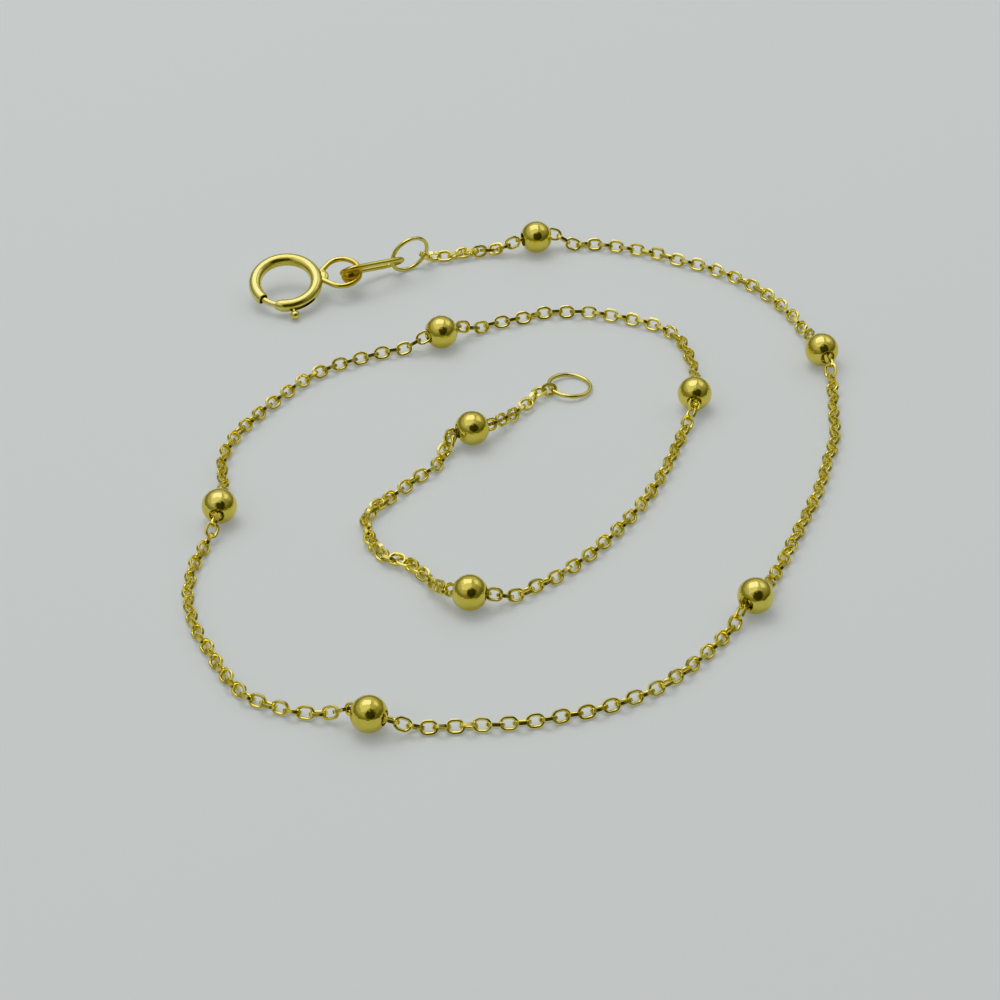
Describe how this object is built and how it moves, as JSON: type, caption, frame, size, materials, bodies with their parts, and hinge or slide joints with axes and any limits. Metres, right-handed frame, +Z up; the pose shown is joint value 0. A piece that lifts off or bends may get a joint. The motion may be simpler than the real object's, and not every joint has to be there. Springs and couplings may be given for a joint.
{
  "type": "chain anklet",
  "caption": "Fine cable chain anklet strung through round hollow beads, with a spring ring clasp and an end ring, lying unclasped in an open spiral",
  "frame": {"origin": "middle of the footprint, on the surface that the anklet lies on", "axes": "front view looks along +Y and down, X to the right, Z up; the clasp is at the far left"},
  "size_m": [0.047, 0.0603, 0.0033],
  "materials": {
    "polished_gold": "polished yellow gold",
    "chain_gold": "polished drawn wire",
    "worn_gold": "drawn wire, lightly rubbed"
  },
  "bodies": {
    "anklet": {"bead_1": "polished_gold", "bead_2": "polished_gold", "bead_3": "polished_gold", "bead_4": "polished_gold", "bead_5": "polished_gold", "bead_6": "polished_gold", "bead_7": "polished_gold", "bead_8": "polished_gold", "bead_9": "polished_gold", "chain_outer": "chain_gold", "chain_inner": "chain_gold", "clasp_body": "polished_gold", "oval_link": "polished_gold", "jump_ring": "polished_gold", "end_ring": "polished_gold"},
    "gate": {"clasp_gate": "worn_gold"}
  },
  "joints": [
    {"name": "gate_turn", "type": "hinge", "parent": "anklet", "child": "gate", "pos_m": [-0.01813, 0.02243, 0.00148], "axis": [0, -0.2756, 0.9613], "range_deg": [0, 34], "stiffness_Nm_per_rad": 0.003}
  ]
}
